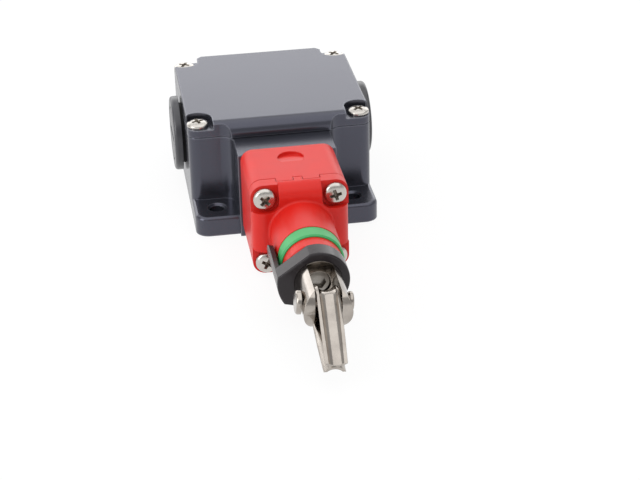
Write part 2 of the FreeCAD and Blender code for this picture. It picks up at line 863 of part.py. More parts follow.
washer = node(on_axis(body("spring_washer")))
ring(washer, "(shaft_width + 2 * fit_gap)", "washer_outer", clip_front, washer_front)
clip = node(on_axis(body("retaining_ring")))
ring(clip, "(shaft_width - 2 * ring_clip_depth + 2 * fit_gap)", "ring_clip_outer", clip_rear, clip_front)
made = sketch(clip, "mouth", "XZ_Plane", clip_front)
contour(made, oblong("-ring_clip_mouth / 2", "ring_clip_mouth / 2", "-ring_clip_outer", "0"))
pocket(clip, made, "ring_clip_thick")

spring = node(on_axis(body("return_spring")))
made = sketch(spring, "wire", "XY_Plane")
circle(made, "spring_mean / 2", f"spring_wire / 2 + spring_seat_gap - {guide_rear}", "spring_wire")
coil(spring, made, "spring_length - spring_wire - 2 * spring_seat_gap", "spring_turns", "V_Axis")


# Cam slide: its ramp lets the plunger out as the shaft is pulled

ramp_slope = "(cam_rise / pull_travel)"
ramp_start = "(cam_station + cam_lead)"
ramp_run = "(pull_travel + 2 * cam_lead)"
slide = node(on_axis(body("cam_slide")))
made = sketch(slide, "plan", "XY_Plane")
contour(made, [
    ("-slide_width / 2", f"-{shaft_rear}"),
    ("slide_width / 2", f"-{shaft_rear}"),
    ("slide_width / 2", f"-{ramp_start}"),
    (f"slide_width / 2 - {ramp_slope} * {ramp_run}", f"{ramp_run} - {ramp_start}"),
    ("-slide_width / 2", f"{ramp_run} - {ramp_start}"),
])
pad(slide, made, "slide_height", side="Symmetric")
made = sketch(slide, "socket", "XZ_Plane", shaft_rear)
circle(made, "0", "0", "slide_spigot + 2 * fit_gap")
pocket(slide, made, "slide_spigot_length + fit_gap")
made = sketch(slide, "pin_hole", "XY_Plane")
circle(made, *slide_pin_place, "slide_pin + 2 * fit_gap")
pocket(slide, made, "slide_height", side="Symmetric")
slide_pin = node(on_axis(body("slide_pin")))
made = sketch(slide_pin, "section", "XY_Plane")
circle(made, *slide_pin_place, "slide_pin")
pad(slide_pin, made, "slide_height", side="Symmetric")


# Collar with two flats that run out to the pointer tab


def polar(width, angle):
    # A point on the tab's side of the axis, by its angle above the tab's middle
    return f"-({width}) / 2 * cos({angle})", f"({width}) / 2 * sin({angle})"


collar = node(on_axis(body("indicator_collar")))
made = sketch(collar, "outline", "XZ_Plane", collar_rear)
contour(made, [
    polar("collar_width", "collar_flat_angle"),
    (*polar("tab_outer", "tab_half_angle"), "tab_outer / 2"),
    polar("tab_outer", "-tab_half_angle"),
    (*polar("collar_width", "-collar_flat_angle"), "collar_width / 2"),
    ("collar_width / 2", "0", "collar_width / 2"),
])
circle(made, "0", "0", "shaft_front_width + 2 * fit_gap")
pad(collar, made, "collar_thick")
dress(
    collar, "Fillet", "collar_edge",
    lambda edge: lies_at(edge, "y", -value(collar_front)) and len(edge.Vertexes) == 2,
)
made = sketch(collar, "fork_seat", "XZ_Plane", collar_front)
circle(made, "0", "0", "fork_width + 2 * fit_gap")
pocket(collar, made, "fork_seat")
made = sketch(collar, "tab", "XZ_Plane", collar_rear)
contour(made, [
    (*polar("tab_outer", "tab_half_angle"), "tab_outer / 2"),
    polar("tab_outer", "-tab_half_angle"),
    (*polar("tab_inner", "-tab_half_angle"), "-tab_inner / 2"),
    polar("tab_inner", "tab_half_angle"),
])
pad(collar, made, "tab_reach", reverse=True)


def tab_end_edge(edge):
    at_end = lies_at(edge, "y", value(f"tab_reach - {collar_rear}"))
    return at_end and isinstance(edge.Curve, Part.Line)


dress(collar, "Fillet", "tab_inner / 2 * sin(tab_half_angle) - tab_flat", tab_end_edge)
collar.Placement = Placement(Vector(), Rotation(Vector(0, 1, 0), value("collar_turn")))
bind(collar, "Placement.Rotation.Angle", "collar_turn")
on_axis(collar)


# Fork, its screw, the cross pin and the thimble


def turned_with_fork(item, station="0"):
    item.Placement = Placement(Vector(), Rotation(Vector(0, 1, 0), value("fork_turn")))
    bind(item, "Placement.Rotation.Angle", "fork_turn")
    bind(item, "Placement.Base.y", f"-({station})")
    return node(on_axis(item))


fork_end = f"({pin_station} + fork_width / 2)"
fork = turned_with_fork(body("clevis"))
made = sketch(fork, "bar", "XY_Plane")
contour(made, oblong("0", "fork_width / 2", f"-{fork_end}", f"-{fork_rear}"))
turn(fork, "Revolution", made)
made = sketch(fork, "slot", "XY_Plane")
contour(made, oblong("-fork_slot / 2", "fork_slot / 2", f"-{fork_end}", f"-{slot_floor}"))
pocket(fork, made, "fork_width", side="Symmetric")
made = sketch(fork, "round_end", "YZ_Plane")
contour(made, [
    (f"-{pin_station}", "fork_width / 2", "fork_width / 2"),
    (f"-{fork_end}", "0", "fork_width / 2"),
    (f"-{pin_station}", "-fork_width / 2"),
    (f"-{fork_end} - fork_lip", "-fork_width / 2"),
    (f"-{fork_end} - fork_lip", "fork_width / 2"),
])
pocket(fork, made, "fork_width", side="Symmetric")
made = sketch(fork, "pin_hole", "YZ_Plane")
circle(made, f"-{pin_station}", "0", "pin_width + 2 * pin_gap")
pocket(fork, made, "fork_width", side="Symmetric")
made = sketch(fork, "screw_hole", "XZ_Plane", slot_floor)
circle(made, "0", "0", "fork_screw + 2 * hole_gap")
pocket(fork, made, "fork_seat + fork_lip")
made = sketch(fork, "screw_seat", "XZ_Plane", slot_floor)
circle(made, "0", "0", "fork_screw_head + 2 * hole_gap")
pocket(fork, made, "fork_screw_sink")

fork_screw = turned_with_fork(body("clevis_screw"))
made = sketch(fork_screw, "profile", "XY_Plane")
screw_seat = f"({slot_floor} - fork_screw_sink)"
crown = f"({screw_seat} + fork_screw_crown)"
contour(made, [
    ("0", f"-{crown}"),
    ("fork_screw_head / 2 - fork_screw_edge", f"-{crown}"),
    ("fork_screw_head / 2", f"fork_screw_edge - {crown}"),
    ("fork_screw_head / 2", f"-{screw_seat}"),
    ("fork_screw / 2", f"-{screw_seat}"),
    ("fork_screw / 2", f"fork_screw_grip - {fork_rear}"),
    ("0", f"fork_screw_grip - {fork_rear}"),
])
turn(fork_screw, "Revolution", made)
made = sketch(fork_screw, "socket", "XZ_Plane", crown)
across_corners = "(fork_screw_socket * 2 / sqrt(3))"
contour(made, [polar(across_corners, str(angle)) for angle in range(0, 360, 60)])
pocket(fork_screw, made, "fork_screw_socket_depth")

fork_pin = turned_with_fork(body("clevis_pin"), pin_station)
made = sketch(fork_pin, "profile", "XY_Plane")
contour(made, [
    ("-fork_width / 2 - pin_head_thick", "0"),
    ("-fork_width / 2 - pin_head_thick", "pin_head / 2 - pin_head_edge", "-pin_head_edge"),
    ("pin_head_edge - fork_width / 2 - pin_head_thick", "pin_head / 2"),
    ("-fork_width / 2", "pin_head / 2"),
    ("-fork_width / 2", "pin_width / 2"),
    ("fork_width / 2", "pin_width / 2"),
    ("fork_width / 2", "pin_tail / 2"),
    ("fork_width / 2 + pin_tail_thick - pin_tail_edge", "pin_tail / 2", "-pin_tail_edge"),
    ("fork_width / 2 + pin_tail_thick", "pin_tail / 2 - pin_tail_edge"),
    ("fork_width / 2 + pin_tail_thick", "0"),
])
turn(fork_pin, "Revolution", made, "H_Axis")

# Thimble: a rolled channel that runs round the eye and closes at its tip
eye = "(thimble_eye / 2)"
eye_station = f"({eye} - pin_width / 2 - thimble_play)"
sheet_back = "(thimble_channel + thimble_sheet)"
rim_angle = f"asin(thimble_width / 2 / {sheet_back})"
rim = f"({eye} + {sheet_back} - thimble_channel * cos({rim_angle}))"
tip_height = "thimble_slit / 2"


def lean(radius, height):
    # Angle to the thimble's middle of the tangent from a circle round the eye to the tip's end
    ahead = f"(thimble_reach - {eye_station})"
    return f"(asin({radius} / sqrt({ahead} ^ 2 + ({height}) ^ 2)) - atan(({height}) / {ahead}))"


thimble = node(body("thimble"))
droop = Rotation(Vector(1, 0, 0), value("thimble_droop"))
thimble.Placement = Placement(Vector(), Rotation(Vector(0, 1, 0), value("fork_turn")) * droop)
bind(thimble, "Placement.Base.y", f"-{pin_station}")
on_axis(thimble)

leg_lean = lean(eye, tip_height)
path = sketch(thimble, "path", "YZ_Plane")
leg_start = f"-{eye_station} - {eye} * sin({leg_lean})", f"{eye} * cos({leg_lean})"
contour(path, [
    ("-thimble_reach", tip_height),
    (*leg_start, f"-{eye}"),
    (f"{eye} - {eye_station}", "0", f"-{eye}"),
    (leg_start[0], f"-{leg_start[1]}"),
    ("-thimble_reach", f"-{tip_height}"),
], closed=False)
made = sketch(thimble, "sheet", "XZ_Plane", "thimble_reach")
made.AttachmentOffset = Placement(Vector(), Rotation(Vector(1, 0, 0), value(leg_lean)))
bind(made, "AttachmentOffset.Base.y", tip_height)
bind(made, "AttachmentOffset.Rotation.Angle", leg_lean)


def section_point(side, radius):
    return f"{side} * {radius} * sin({rim_angle})", f"{sheet_back} - {radius} * cos({rim_angle})"


contour(made, [
    (*section_point(-1, sheet_back), sheet_back),
    section_point(1, sheet_back),
    (*section_point(1, "thimble_channel"), "-thimble_channel"),
    section_point(-1, "thimble_channel"),
])
doc.recompute()
sweep(thimble, made, path)

# The rims get lower towards the tip
rim_lean = lean(rim, "thimble_tip")
made = sketch(thimble, "rim_taper", "YZ_Plane")
for sign in (-1, 1):
    contour(made, [
        (f"-{eye_station}", f"{sign} * {rim} / cos({rim_lean})"),
        ("-thimble_reach - thimble_sheet", f"{sign} * (thimble_tip - thimble_sheet * tan({rim_lean}))"),
        ("-thimble_reach - thimble_sheet", f"{sign} * 2 * {rim}"),
        (f"-{eye_station}", f"{sign} * 2 * {rim}"),
    ])
pocket(thimble, made, "2 * thimble_width", side="Symmetric")


# Contact block on the floor beside the cam slide

lid_base = f"({block_base} + block_height)"
lid_top = f"({lid_base} + lid_thick)"
block_span = f"{block_middle} - block_length / 2", f"{block_middle} + block_length / 2"
hollow_left, hollow_right = f"({block_left} + block_guide)", f"({block_right} - block_wall)"
hollow_half = "(block_length / 2 - block_wall)"
ramp_at_plunger = f"(slide_width / 2 - {ramp_slope} * cam_lead)"
dome_centre = f"({ramp_at_plunger} + (plunger_width / 2 + ramp_gap) / cos(atan({ramp_slope})))"
closed_strip = hollow_left
closed_face = f"({closed_strip} + strip_thick + rivet_thick)"
bridge_face = f"({closed_face} + rivet_gap + cam_rise + rivet_thick)"
open_face = f"({bridge_face} + bridge_thick + rivet_thick + rivet_gap)"
open_strip = f"({open_face} + rivet_thick)"
contact_ends = [f"{block_middle} + {sign} * contact_pitch / 2" for sign in (-1, 1)]


def level_with_plunger(item):
    bind(item, "Placement.Base.y", block_middle)
    return on_axis(item)


block = node(body("contact_block"))
made = sketch(block, "box", "XY_Plane", block_base)
contour(made, oblong(block_left, block_right, *block_span))
pad(block, made, "block_height")
made = sketch(block, "lugs", "XY_Plane", block_base)
lug_span = (f"{block_span[0]} - lug_length", f"{block_span[1]} + lug_length")
contour(made, oblong(block_left, f"{block_left} + lug_width", *lug_span))
pad(block, made, "lug_height")
made = sketch(block, "hollow", "XY_Plane", lid_base)
hollow_span = f"{block_middle} - {hollow_half}", f"{block_middle} + {hollow_half}"
contour(made, oblong(hollow_left, hollow_right, *hollow_span))
pocket(block, made, "block_height - block_wall")
made = sketch(block, "guide", "YZ_Plane", block_left)
circle(made, block_middle, "axis_height", "plunger_width + 2 * plunger_gap")
pocket(block, made, "block_guide", reverse=True)
made = sketch(block, "lug_holes", "XY_Plane", f"{block_base} + lug_height")
for place in boss_places:
    circle(made, *place, "small_thread + 2 * hole_gap")
pocket(block, made, "lug_height")

lid = node(body("block_lid"))
made = sketch(lid, "plate", "XY_Plane", lid_base)
contour(made, oblong(block_left, block_right, *block_span))
pad(lid, made, "lid_thick")
made = sketch(lid, "strip_slots", "XY_Plane", lid_top)
for strip in (closed_strip, open_strip):
    for end in contact_ends:
        slot_y = [f"{end} + {sign} * (strip_width / 2 + strip_gap)" for sign in (-1, 1)]
        contour(made, oblong(f"{strip} - strip_gap", f"{strip} + strip_thick + strip_gap", *slot_y))
pocket(lid, made, "lid_thick")
terminal_x = "(strip_flange + strip_thick) / 2"
made = sketch(lid, "terminal_threads", "XY_Plane", lid_top)
for strip in (closed_strip, open_strip):
    for end in contact_ends:
        circle(made, f"{strip} + {terminal_x}", end, "small_thread + 2 * thread_gap")
pocket(lid, made, "lid_thick")


def contact_strip(name, rivet_side):
    # Bent strip with its top flange on the lid at z = 0 and a contact rivet level with the plunger
    item = body(name)
    made = sketch(item, "strip", "XZ_Plane")
    contour(made, [
        ("0", "-strip_drop"),
        ("strip_thick", "-strip_drop"),
        ("strip_thick", "0"),
        ("strip_flange", "0"),
        ("strip_flange", "strip_thick"),
        ("0", "strip_thick"),
    ])
    pad(item, made, "strip_width", side="Symmetric")
    made = sketch(item, "rivet", "YZ_Plane", "strip_thick" if rivet_side > 0 else "0")
    circle(made, "0", f"axis_height - {lid_top}", "rivet_width")
    pad(item, made, "rivet_thick", reverse=rivet_side < 0)
    made = sketch(item, "hole", "XY_Plane", "strip_thick")
    circle(made, terminal_x, "0", "small_thread + 2 * hole_gap")
    pocket(item, made, "strip_thick")
    return item


strip_masters = [
    (contact_strip("closed_contact", 1), closed_strip),
    (contact_strip("open_contact", -1), open_strip),
]
group("fixed_contacts", [
    (master, (strip, end, lid_top), *upright) for master, strip in strip_masters for end in contact_ends
])
terminal_screw = pan_screw("terminal_screw", "small", "lid_thick")
group("terminal_screws", [
    (terminal_screw, (f"{strip} + {terminal_x}", end, f"{lid_top} + strip_thick"), *upright)
    for master, strip in strip_masters for end in contact_ends
])
block_screw = pan_screw("block_screw", "small", "lug_height + block_screw_grip")
group("block_screws", [
    (block_screw, (*place, f"{block_base} + lug_height"), *upright) for place in boss_places
])

plunger = node(level_with_plunger(body("contact_plunger")))
made = sketch(plunger, "profile", "XY_Plane")
stub_end = f"({bridge_face} + bridge_thick + plunger_stub_length)"
contour(made, [
    (f"{dome_centre} - plunger_width / 2", "0", "-plunger_width / 2"),
    (dome_centre, "plunger_width / 2"),
    (bridge_face, "plunger_width / 2"),
    (bridge_face, "plunger_stub / 2"),
    (stub_end, "plunger_stub / 2"),
    (stub_end, "0"),
])
turn(plunger, "Revolution", made, "H_Axis")

bridge = node(level_with_plunger(body("contact_bridge")))
made = sketch(bridge, "bar", "YZ_Plane", bridge_face)
half, tall = "bridge_length / 2", "bridge_height / 2"
contour(made, oblong(f"-{half}", half, f"-{tall}", tall))
circle(made, "0", "0", "plunger_stub + 2 * fit_gap")
pad(bridge, made, "bridge_thick")
for side, face in ((-1, bridge_face), (1, f"{bridge_face} + bridge_thick")):
    made = sketch(bridge, "front_rivets" if side < 0 else "rear_rivets", "YZ_Plane", face)
    for sign in (-1, 1):
        circle(made, f"{sign} * contact_pitch / 2", "0", "rivet_width")
    pad(bridge, made, "rivet_thick", reverse=side < 0)

plunger_spring = node(level_with_plunger(body("plunger_spring")))
made = sketch(plunger_spring, "wire", "XY_Plane")
coil_start = f"({bridge_face} + bridge_thick + plunger_spring_wire / 2 + fit_gap)"
circle(made, coil_start, "plunger_spring_mean / 2", "plunger_spring_wire")
coil_height = f"{hollow_right} - {coil_start} - plunger_spring_wire / 2 - fit_gap"
coil(plunger_spring, made, coil_height, "plunger_spring_turns", "H_Axis")


# Every object has to be sound before anything is written

doc.recompute()
for item in doc.Objects:
    if "Invalid" in item.State or "Error" in item.State:
        raise RuntimeError(f"{item.Name} failed: {item.getStatusString()}")
os.makedirs("parts", exist_ok=True)
for item in nodes:
    if item.Shape.isNull() or not item.Shape.isValid() or not item.Shape.Solids:
        raise RuntimeError(f"{item.Label} has no sound solid")
for item in nodes:
    item.Shape.exportStep(f"parts/{item.Label}.step")
    print(f"{item.Label}: {len(item.Shape.Solids)} solid(s), {item.Shape.Volume:.1f} mm3")
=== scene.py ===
import json
import math
import bpy
from mathutils import Matrix, Vector


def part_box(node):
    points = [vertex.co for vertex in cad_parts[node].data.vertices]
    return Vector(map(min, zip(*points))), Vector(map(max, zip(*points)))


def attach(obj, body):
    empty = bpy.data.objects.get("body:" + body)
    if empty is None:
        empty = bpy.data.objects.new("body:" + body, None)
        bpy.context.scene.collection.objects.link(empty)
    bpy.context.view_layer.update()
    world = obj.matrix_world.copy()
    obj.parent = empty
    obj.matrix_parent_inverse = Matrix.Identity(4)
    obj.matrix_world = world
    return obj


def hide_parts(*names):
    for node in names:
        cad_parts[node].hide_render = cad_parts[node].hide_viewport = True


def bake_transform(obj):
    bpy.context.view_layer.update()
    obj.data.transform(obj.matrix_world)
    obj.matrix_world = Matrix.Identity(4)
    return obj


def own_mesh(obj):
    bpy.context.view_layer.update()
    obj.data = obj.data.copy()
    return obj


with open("model.json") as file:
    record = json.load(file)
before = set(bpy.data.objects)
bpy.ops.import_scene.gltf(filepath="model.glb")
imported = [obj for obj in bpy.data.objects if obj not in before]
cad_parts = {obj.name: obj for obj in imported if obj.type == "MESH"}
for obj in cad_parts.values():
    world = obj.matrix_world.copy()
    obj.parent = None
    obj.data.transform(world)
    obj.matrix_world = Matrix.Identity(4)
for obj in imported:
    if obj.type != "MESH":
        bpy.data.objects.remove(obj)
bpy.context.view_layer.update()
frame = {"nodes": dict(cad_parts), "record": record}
print("frame loaded:", len(frame["nodes"]), "nodes")

scene = bpy.context.scene
scene.view_settings.view_transform = "Standard"

# Camera at the photograph's viewing angle: metres and degrees, lens and sensor in millimetres
photoCamera = {
    "target": (0.0116, -0.04744, -0.00609),
    "distance": 0.62274,
    "azimuth": -8.57,
    "elevation": 28.54,
    "roll": -1.23,
    "lens": 93.93,
    "sensor": 36,
    "clip": (0.01, 20),
}


def placeCamera(p):
    azimuth, elevation, roll = (math.radians(p[key]) for key in ("azimuth", "elevation", "roll"))
    flat = math.cos(elevation)
    back = Vector((math.sin(azimuth) * flat, -math.cos(azimuth) * flat, math.sin(elevation)))
    level = Vector((math.cos(azimuth), math.sin(azimuth), 0))
    plumb = back.cross(level)
    right = level * math.cos(roll) + plumb * math.sin(roll)
    up = plumb * math.cos(roll) - level * math.sin(roll)
    bpy.ops.object.camera_add(location=Vector(p["target"]) + back * p["distance"])
    cam = bpy.context.object
    cam.name = "photoCamera"
    cam.rotation_mode = "QUATERNION"
    cam.rotation_quaternion = Matrix((right, up, back)).transposed().to_quaternion()
    cam.data.lens = p["lens"]
    cam.data.sensor_width = p["sensor"]
    cam.data.clip_start, cam.data.clip_end = p["clip"]
    scene.camera = cam


placeCamera(photoCamera)
print("camera placed")


# Finishes. Pattern sizes, relief and edge radii are in millimetres, colours are sRGB hex

def hexColor(text):
    # sRGB hex to the linear colour that the shaders take
    parts = [int(text[i:i + 2], 16) / 255 for i in (1, 3, 5)]
    return [p / 12.92 if p <= 0.04045 else ((p + 0.055) / 1.055) ** 2.4 for p in parts] + [1]


def feed(tree, node, inputs):
    # a value that is another node's output becomes a link, a plain one is set on the socket
    for key, val in inputs.items():
        if isinstance(val, bpy.types.NodeSocket):
            tree.links.new(val, node.inputs[key])
        else:
            node.inputs[key].default_value = val


def addNode(tree, kind, inputs, out=0, **settings):
    # one node with its settings and inputs; its chosen output comes back
    made = tree.nodes.new("ShaderNode" + kind)
    for key, val in settings.items():
        setattr(made, key, val)
    feed(tree, made, inputs)
    return made.outputs[out]


def startMaterial(name):
    mat = bpy.data.materials.new(name)
    mat.use_nodes = True
    return mat, mat.node_tree, mat.node_tree.nodes["Principled BSDF"]


# Powder coat on die-cast aluminium: nearly black and satin, with the faint ripple of baked powder.
# It is paler on outer edges, a painted highlight where rounded edges catch light. The specks are drawn
# coarser than the powder's own 0.05 mm, to show
powderCoat = {
    "name": "powderCoatedAluminium", "dark": "#222328", "light": "#27282d",
    # the pale edge colour is a painted highlight on outer edges, reaching this many millimetres from an
    # edge
    "thin": "#66686e", "reach": 0.6, "thinFrom": 0.95, "thinFull": 0.6,
    "cloud": 30, "cloudDetail": 3, "ripple": 1.8, "rippleLift": 0.003,
    "marks": 0.25, "marksDetail": 1, "marksRough": 0.5, "lift": 0.0015,
    "gloss": (0.22, 0.26), "glossBy": "cloud", "edge": 0.35,
    "shader": {  # baked enamel shines more than bare plastic, and a little bluish
        "IOR": 1.517, "Specular IOR Level": 1, "Specular Tint": hexColor("#e4e6ff"),
    },
}

# Moulded polyamide: even colour with a little flow mottle, a spark-eroded grain and soft corners.
# The real grain is about 0.1 mm and is drawn coarser, to show
polyamide = {
    "cloud": 9, "cloudDetail": 4, "marksDetail": 2, "marksRough": 0.5, "glossBy": "cloud",
}
redHead = {
    **polyamide, "name": "redMouldedPolyamide", "dark": "#c81c15", "light": "#d12219",
    "marks": 0.35, "lift": 0.003, "gloss": (0.34, 0.4), "edge": 0.35,
    "shader": {"Specular IOR Level": 0.3},
}
greenBand = {
    **polyamide, "name": "greenMouldedPolyamide", "dark": "#379c58", "light": "#43aa64",
    "marks": 0.3, "lift": 0.003, "gloss": (0.34, 0.42), "edge": 0.2,
    "shader": {"Specular IOR Level": 0.4},
}
blackCollar = {
    **polyamide, "name": "blackMouldedPolyamide", "dark": "#242022", "light": "#2b272a",
    "marks": 0.4, "lift": 0.004, "gloss": (0.2, 0.28), "edge": 0.3,
    "shader": {"Specular IOR Level": 0.3},
}
greyPlug = {
    **polyamide, "name": "darkGreyMouldedPolyamide", "dark": "#333338", "light": "#3b3b40",
    "marks": 0.35, "lift": 0.004, "gloss": (0.28, 0.34), "edge": 0.3,
    "shader": {"Specular IOR Level": 0.7},
}
creamBlock = {
    **polyamide, "name": "creamMouldedPolyamide", "dark": "#cfc6ae", "light": "#ddd6c2",
    "marks": 0.3, "lift": 0.003, "gloss": (0.45, 0.55), "edge": 0.2,
    "shader": {"Specular IOR Level": 0.5},
}

# Metals: clouds in the plating or skin, and fine marks of the tool, which break up the shine.
# Where the tool ran one way, stretch draws its marks out. They are coarser than the real ones, to show
workedMetal = {
    "cloud": 5, "cloudDetail": 3, "marksDetail": 3, "marksRough": 0.6, "glossBy": "marks",
    "shader": {"Metallic": 1},
}
zincPlate = {
    **workedMetal, "name": "zincPlatedSteel", "dark": "#a19a93", "light": "#b9b2aa",
    "stretch": (1, 0.12, 1), "marks": 0.5, "lift": 0.0012, "gloss": (0.12, 0.2), "edge": 0.12,
}
turnedSteel = {
    **workedMetal, "name": "turnedSteel", "dark": "#8f8b86", "light": "#a9a59f",
    "stretch": (0.08, 1, 0.08), "marks": 0.4, "lift": 0.002, "gloss": (0.24, 0.36), "edge": 0.1,
}
springSteel = {
    **workedMetal, "name": "drawnSpringSteel", "dark": "#77777a", "light": "#8f8f93",
    "marks": 0.6, "lift": 0.001, "gloss": (0.28, 0.4), "edge": 0.05,
}
bushBronze = {
    **workedMetal, "name": "sinteredBronze", "dark": "#8a6a33", "light": "#a98547",
    "marks": 0.3, "lift": 0.004, "gloss": (0.4, 0.55), "edge": 0.1,
}
contactBrass = {
    **workedMetal, "name": "stampedBrass", "dark": "#b18f45", "light": "#c9a95d",
    "stretch": (1, 0.1, 1), "marks": 0.4, "lift": 0.001, "gloss": (0.22, 0.34), "edge": 0.08,
}
screwHead = {
    **workedMetal, "name": "brightZincPlatedSteel", "dark": "#bbb6b0", "light": "#cfcbc5",
    "marks": 0.6, "lift": 0.001, "gloss": (0.2, 0.3), "edge": 0.05,
}
# The recess is rougher for its punched surface, and its darker colour is painted shade, for the little
# light that gets in
screwRecess = {
    **workedMetal, "name": "punchedAndShadedZincSteel", "dark": "#8c857b", "light": "#aaa399",
    "marks": 0.3, "lift": 0.002, "gloss": (0.5, 0.65), "edge": 0.05,
}

# Seals: dull black moulded rubber with a bloom of grey
sealRubber = {
    "name": "mouldedSealRubber", "dark": "#151515", "light": "#232322",
    "cloud": 2.5, "cloudDetail": 4, "marks": 2.5, "marksDetail": 4, "marksRough": 0.5, "lift": 0.01,
    "gloss": (0.6, 0.75), "glossBy": "cloud", "edge": 0, "shader": {},
}

noiseSpan = {"From Min": 0.25, "From Max": 0.75}  # most of a noise's values lie between these
edgeSamples = 6
thinSamples = 8
rippleDetail = 2


def makeFinish(p):
    # a noise's scale is lumps to the metre, so it is 1000 over a size in millimetres
    mat, tree, skin = startMaterial(p["name"])
    place = addNode(tree, "TexCoord", {}, "Object")
    along = place
    if "stretch" in p:
        along = addNode(tree, "Mapping", {"Vector": place, "Scale": p["stretch"]})
    cloud = addNode(tree, "TexNoise", {
        "Vector": place, "Scale": 1000 / p["cloud"], "Detail": p["cloudDetail"],
    })
    marks = addNode(tree, "TexNoise", {
        "Vector": along, "Scale": 1000 / p["marks"], "Detail": p["marksDetail"],
        "Roughness": p["marksRough"],
    })

    share = addNode(tree, "MapRange", {"Value": cloud, **noiseSpan})
    ends = {6: hexColor(p["dark"]), 7: hexColor(p["light"])}
    colour = addNode(tree, "Mix", {0: share, **ends}, 2, data_type="RGBA")
    if "thin" in p:
        # rays sent inwards soon meet the next face beside an outer edge, but not in a hollow; there the
        # colour is lightened, a painted highlight
        inward = addNode(tree, "AmbientOcclusion", {"Distance": p["reach"] / 1000}, "AO",
                         samples=thinSamples, inside=True, only_local=True)
        highlightShare = addNode(tree, "MapRange", {
            "Value": inward, "From Min": p["thinFrom"], "From Max": p["thinFull"],
        })
        ends = {6: colour, 7: hexColor(p["thin"])}
        colour = addNode(tree, "Mix", {0: highlightShare, **ends}, 2, data_type="RGBA")

    dull = addNode(tree, "MapRange", {
        "Value": marks if p["glossBy"] == "marks" else cloud, **noiseSpan,
        "To Min": p["gloss"][0], "To Max": p["gloss"][1],
    })

    under = {}
    if p["edge"]:
        # rounds the look of sharp CAD edges by the small radius of the real ones
        soft = addNode(tree, "Bevel", {"Radius": p["edge"] / 1000}, samples=edgeSamples)
        under = {"Normal": soft}
    if "ripple" in p:
        ripple = addNode(tree, "TexNoise", {
            "Vector": place, "Scale": 1000 / p["ripple"], "Detail": rippleDetail,
        })
        height = {"Height": ripple, "Distance": p["rippleLift"] / 1000}
        under = {"Normal": addNode(tree, "Bump", {**height, **under})}
    height = {"Height": marks, "Distance": p["lift"] / 1000}
    bumps = addNode(tree, "Bump", {**height, **under})

    feed(tree, skin, {"Base Color": colour, "Roughness": dull, "Normal": bumps, **p["shader"]})
    return mat


# One for each of the record's slots, and two more for the screws below
finishSettings = {
    "charcoal_coating": powderCoat,
    "red_plastic": redHead,
    "green_plastic": greenBand,
    "black_plastic": blackCollar,
    "grey_plastic": greyPlug,
    "cream_plastic": creamBlock,
    "zinc_steel": zincPlate,
    "steel": turnedSteel,
    "spring_steel": springSteel,
    "bronze": bushBronze,
    "brass": contactBrass,
    "rubber": sealRubber,
    "screwHead": screwHead,
    "screwRecess": screwRecess,
}
finishes = {slot: makeFinish(p) for slot, p in finishSettings.items()}
for sub in frame["record"]["subparts"]:
    mesh = frame["nodes"][sub["node"]].data
    mesh.materials.clear()
    mesh.materials.append(finishes[sub["material_slot"]])
print("finishes made:", len(finishes))


# Pan-head screws with a cross recess: metres and degrees, head and shank by their radius
panScrew = {
    "nodeHead": 0.0028,  # height of the CAD screw's head, from its seat to its top
    "head": 0.004, "rim": 0.0009, "crown": 0.0028, "sides": 64,
    "domeSteps": 8, "lastRing": 84,
    "shoulder": 0.86,  # a power under 1 makes the dome's top flatter than an ellipse
    "shank": 0.0019, "tip": 0.0008, "tipShare": 0.75,
    "edge": 0.00018, "edgeSteps": 3, "edgeOver": 38, "smoothUnder": 32,
    "wing": 0.0031, "blade": 0.0008, "bladeTaper": (0.42, 0.5, 1), "depth": 0.0019,
    "point": 0.0005, "flare": 0.0017, "pointSides": 24,
    "step": 0.00006,  # each cutter goes this much deeper than the last, so that no floors share a plane
}
lowScrew = {**panScrew, "rim": 0.0007, "crown": 0.0019, "depth": 0.0016}  # the cover's are flatter
screwSets = {
    "coverScrews": {"node": "cover_screws", "screw": lowScrew, "axis": "z", "turns": (18, -28, 38, 52)},
    "headScrews": {"node": "head_screws", "screw": panScrew, "axis": "y", "turns": (63, 45, 20, 15)},
}
screwFinishes = ("screwHead", "screwRecess")
facingAxis = 0.9  # the least share of a normal along Z for a face that counts as a top or a bottom


def deselect():
    bpy.ops.object.select_all(action="DESELECT")


def pickFaces(obj, test):
    # faces are picked in object mode and show as selected in edit mode
    bpy.ops.object.mode_set(mode="OBJECT")
    for kind in (obj.data.vertices, obj.data.edges):
        for item in kind:
            item.select = False
    for face in obj.data.polygons:
        face.select = test(face)
    bpy.ops.object.mode_set(mode="EDIT")


def isTop(face):
    return face.normal.z > facingAxis


def isBottom(face):
    return face.normal.z < -facingAxis


def recessCutters(p):
    # two crossed tapered blades and a blunt cone
    deselect()
    cutters = []
    for turn, depth in ((0, p["depth"]), (math.pi / 2, p["depth"] + p["step"])):
        bpy.ops.mesh.primitive_cube_add(size=1)
        blade = bpy.context.object
        bpy.ops.object.mode_set(mode="EDIT")
        bpy.ops.transform.resize(value=(2 * p["wing"], 2 * p["blade"], 2 * depth))
        pickFaces(blade, isBottom)
        bpy.ops.transform.resize(value=p["bladeTaper"])
        bpy.ops.object.mode_set(mode="OBJECT")
        blade.rotation_euler.z = turn
        cutters.append(blade)
    bpy.ops.mesh.primitive_cone_add(vertices=p["pointSides"], radius1=p["point"], radius2=p["flare"],
                                    depth=2 * (p["depth"] + 2 * p["step"]))
    cutters.append(bpy.context.object)
    for cutter in cutters:
        cutter.location.z = p["crown"]
        for finish in screwFinishes:
            cutter.data.materials.append(finishes[finish])
        for face in cutter.data.polygons:
            face.material_index = screwFinishes.index("screwRecess")  # the cut faces keep this one
    return cutters


